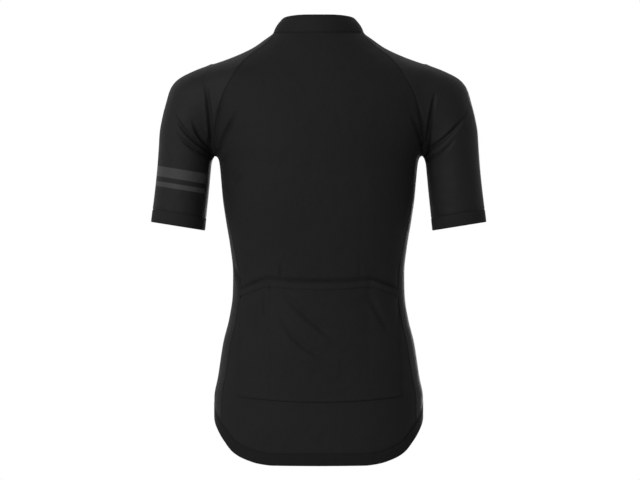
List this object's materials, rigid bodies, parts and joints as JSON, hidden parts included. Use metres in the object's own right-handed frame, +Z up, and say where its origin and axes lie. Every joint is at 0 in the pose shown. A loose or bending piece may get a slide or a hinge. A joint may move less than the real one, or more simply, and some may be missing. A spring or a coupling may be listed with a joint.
{
  "type": "cycling jersey",
  "caption": "Short-sleeved cycling jersey with raglan sleeves, a stand collar, a full front zip, rear pockets and a dropped hem, filled out and open as worn.",
  "frame": {"origin": "middle of the neck, level with the base of the collar at the shoulders, where the wearer carries the jersey", "axes": "+Z up along the wearer, +Y the way the wearer faces, +X to the wearer's right"},
  "size_m": [0.5368, 0.2288, 0.7177],
  "materials": {
    "body_knit": "matte fine warp knit, black",
    "side_knit": "smooth stretch mesh knit with a slight sheen, black",
    "sleeve_knit": "smooth stretch knit with a soft sheen, black",
    "collar_knit": "double layer of fine knit, black",
    "elastic": "flat ribbed elastic, black",
    "zip": "black coil zip with covered tapes",
    "zip_metal": "black lacquered slider and pull"
  },
  "bodies": {
    "garment": {"back_panel": "body_knit", "front_left": "body_knit", "front_right": "body_knit", "side_left": "side_knit", "side_right": "side_knit", "sleeve_left": "sleeve_knit", "sleeve_right": "sleeve_knit", "cuff_left": "elastic", "cuff_right": "elastic", "collar": "collar_knit", "hem_band": "elastic", "pocket_panel": "body_knit", "pocket_binding": "elastic", "zip_chain": "zip", "zip_slider": "zip_metal"},
    "pull_tab": {"zip_pull": "zip_metal"}
  },
  "joints": [
    {"name": "pull_tab_swing", "type": "hinge", "parent": "garment", "child": "pull_tab", "pos_m": [0, 0.0712, -0.0285], "axis": [1, 0, 0], "range_deg": [0, 150]}
  ]
}
